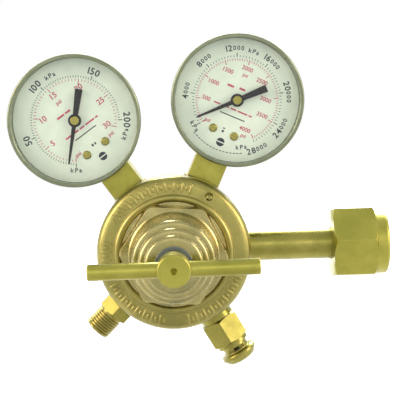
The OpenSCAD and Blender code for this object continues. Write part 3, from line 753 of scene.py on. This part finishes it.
def high_red(shape, place):
    """Red scale of the cylinder gauge, 0 to 4000 psi."""
    ticks(shape, ZERO_ANGLE, 3.48, 80, RED_R - 1.2, RED_R, 10, -1.4, place)
    rows = (("500", 198, 15.9), ("1000", 164, 15.2), ("1500", 129, 16.1), ("2000", 94, 17.1),
            ("2500", 59.5, 16.2), ("3000", 24, 14.9), ("3500", -8, 15.2), ("4000", -52, 15.6))
    for number, degrees, radius in rows:
        stamp(shape, number, 2.2, polar(radius, degrees), 0, place)
    stamp(shape, "psi", 1.9, polar(13.6, 94), 0, place)
    stamp(shape, "psi", 1.9, polar(18.6, -57), 0, place)
    stamp(shape, "psi", 2.0, polar(18.1, 236), 0, place)
    dashes(shape, Vector((-5.9, 5.7)), (3.6,), 0, 1.1, place)
    dashes(shape, Vector((0.4, 6.2)), (3.2,), 0, 1.1, place)
    dashes(shape, Vector((-0.2, -5.1)), (3.6, 4.4, 3.2, 5.4, 1.8), 0, 0.8, place)


def maker_disc(shape, place):
    """A plain dark disc in two halves with a gap across it, where a dial carries a badge."""
    centre, radius, half_gap = Vector((0.4, -23.3)), 2.2, 0.28
    for side in (-1, 1):
        start = math.asin(half_gap / radius)
        outline = []
        for i in range(17):
            angle = start + (math.pi - 2 * start) * i / 16
            outline.append(((centre.x + radius * math.cos(angle)) * MM,
                            (centre.y + side * radius * math.sin(angle)) * MM))
        slab(shape, outline, PRINT_FRONT * MM, PRINT_BACK * MM, place)


def dial_prints():
    """The scales of both dials, in black and red ink."""
    inks = {
        "low": ((low_black, PRINT_BLACK, "pointer_black"), (low_red, PRINT_RED, "dial_face")),
        "high": ((high_black, PRINT_BLACK, "pointer_black"), (high_red, PRINT_RED, "dial_face")),
    }
    for gauge, scales in inks.items():
        place = gauge_place(gauge)
        for draw, ink, slot in scales:
            def build(shape, draw=draw, ink=ink):
                draw(shape, place)
                if ink is PRINT_BLACK:
                    maker_disc(shape, place)
            name = f"{gauge}_gauge_{draw.__name__.split('_')[1]}_print"
            piece_from(name, mesh_from(name, build), ink, "regulator")


# ---------- studio and camera ----------

FLOOR_RADIUS = 1.1
FLOOR_SIDES = 96
FLOOR_DROP = 25 * MM
FLOOR_TONES = ((0.44, 0.44, 0.44, 1), (0.48, 0.48, 0.48, 1))
FLOOR_FADE = (0.3, 0.95)         # it fades to white between these radii, in metres
FLOOR_GLOW = 0.62


def studio_floor():
    """A round pale table top under the part, which fades to white towards its rim."""
    low = cad_box[0].z - FLOOR_DROP
    rim = [polar(FLOOR_RADIUS, 360 * i / FLOOR_SIDES) for i in range(FLOOR_SIDES)]
    mesh = bpy.data.meshes.new("studio_floor")
    mesh.from_pydata([(p.x + SCREW_AXIS.x, p.y, low) for p in rim], [], [range(FLOOR_SIDES)])
    floor = bpy.data.objects.new("studio_floor", mesh)
    bpy.context.scene.collection.objects.link(floor)
    material, tree, shader = blank("studio_paper")
    place = object_place(tree)
    fibre = noise(tree, place, 40, 4)
    tree.links.new(blend_colour(tree, fibre, *FLOOR_TONES), shader.inputs["Base Color"])
    centre = (SCREW_AXIS.x, 0, low)
    reach = node(tree, "ShaderNodeVectorMath", {"operation": "DISTANCE"}, _0=place,
                 _1=centre).outputs["Value"]
    faded = math_node(tree, "MULTIPLY", spread(tree, reach, *FLOOR_FADE), FLOOR_GLOW)
    shader.inputs["Emission Color"].default_value = (1, 1, 1, 1)
    tree.links.new(faded, shader.inputs["Emission Strength"])
    shader.inputs["Roughness"].default_value = 0.9
    shader.inputs["Specular IOR Level"].default_value = 0.1
    mesh.materials.append(material)


def sky():
    """Soft studio surroundings: bright round the horizon and darker overhead."""
    world = bpy.data.worlds.new("studio")
    bpy.context.scene.world = world
    world.use_nodes = True
    tree = world.node_tree
    direction = node(tree, "ShaderNodeTexCoord").outputs["Generated"]
    height = node(tree, "ShaderNodeSeparateXYZ", None, Vector=direction).outputs["Z"]
    overhead = spread(tree, height, 0.12, 0.75)
    colour = blend_colour(tree, overhead, (1.0, 1.0, 1.0, 1), (0.70, 0.72, 0.70, 1))
    tree.links.new(colour, tree.nodes["Background"].inputs["Color"])
    tree.nodes["Background"].inputs["Strength"].default_value = 1.0


def softbox(name, place, target, width, height, power, colour, beam=180):
    """A rectangular area light that faces a point, with its beam's width in degrees."""
    lamp = bpy.data.lights.new(name, "AREA")
    lamp.shape = "RECTANGLE"
    lamp.size, lamp.size_y = width, height
    lamp.energy = power
    lamp.color = colour
    lamp.spread = math.radians(beam)
    light = bpy.data.objects.new(name, lamp)
    bpy.context.scene.collection.objects.link(light)
    light.location = place
    aim = Vector(target) - Vector(place)
    light.rotation_euler = aim.to_track_quat("-Z", "Y").to_euler()


WARM = (1.0, 0.80, 0.68)


def lights():
    """Warm soft boxes at both sides, one over the camera, and a wide one over the back."""
    target = (SCREW_AXIS.x, 0, 0.0)
    softbox("side_left", (-0.80, -0.30, 0.30), target, 0.36, 0.5, 0.5, WARM, 60)
    softbox("side_right", (0.60, -0.30, 0.30), target, 0.36, 0.5, 0.42, WARM, 60)
    softbox("front", (SCREW_AXIS.x, -1.2, 0.45), target, 0.9, 0.4, 0.16, (1, 0.94, 0.9), 70)
    behind = (SCREW_AXIS.x, 0.75, -0.1)
    softbox("over_back", (SCREW_AXIS.x, 0.95, 0.70), behind, 2.0, 1.0, 40, (1, 1, 1), 120)


LENS = 107.66            # focal length in mm
DISTANCE = 0.6345        # from the camera to its target, in metres
AZIMUTH = math.radians(-1.02)
ELEVATION = math.radians(5.92)
ROLL = math.radians(-1.6)
TARGET_FROM_AXIS = (14.54, 0, 25.07)     # in mm


def camera():
    """A long-lens camera a little above the part, turned slightly about its view."""
    target = Vector((SCREW_AXIS.x, 0, 0)) + Vector(TARGET_FROM_AXIS) * MM
    back = Vector((math.sin(AZIMUTH) * math.cos(ELEVATION),
                   -math.cos(AZIMUTH) * math.cos(ELEVATION), math.sin(ELEVATION)))
    right = (-back).cross(Vector((0, 0, 1))).normalized()
    up = right.cross(-back)
    rolled_right = right * math.cos(ROLL) + up * math.sin(ROLL)
    rolled_up = up * math.cos(ROLL) - right * math.sin(ROLL)
    turn = Matrix((rolled_right, rolled_up, back)).transposed().to_4x4()
    data = bpy.data.cameras.new("camera")
    data.lens = LENS
    data.clip_start = 0.01
    shot = bpy.data.objects.new("camera", data)
    bpy.context.scene.collection.objects.link(shot)
    shot.matrix_world = Matrix.Translation(target + back * DISTANCE) @ turn
    bpy.context.scene.camera = shot
    bpy.context.scene.view_settings.view_transform = "Standard"


camera()
dress_nodes()
cut_threads()
cast_marks()
dial_prints()
studio_floor()
sky()
lights()
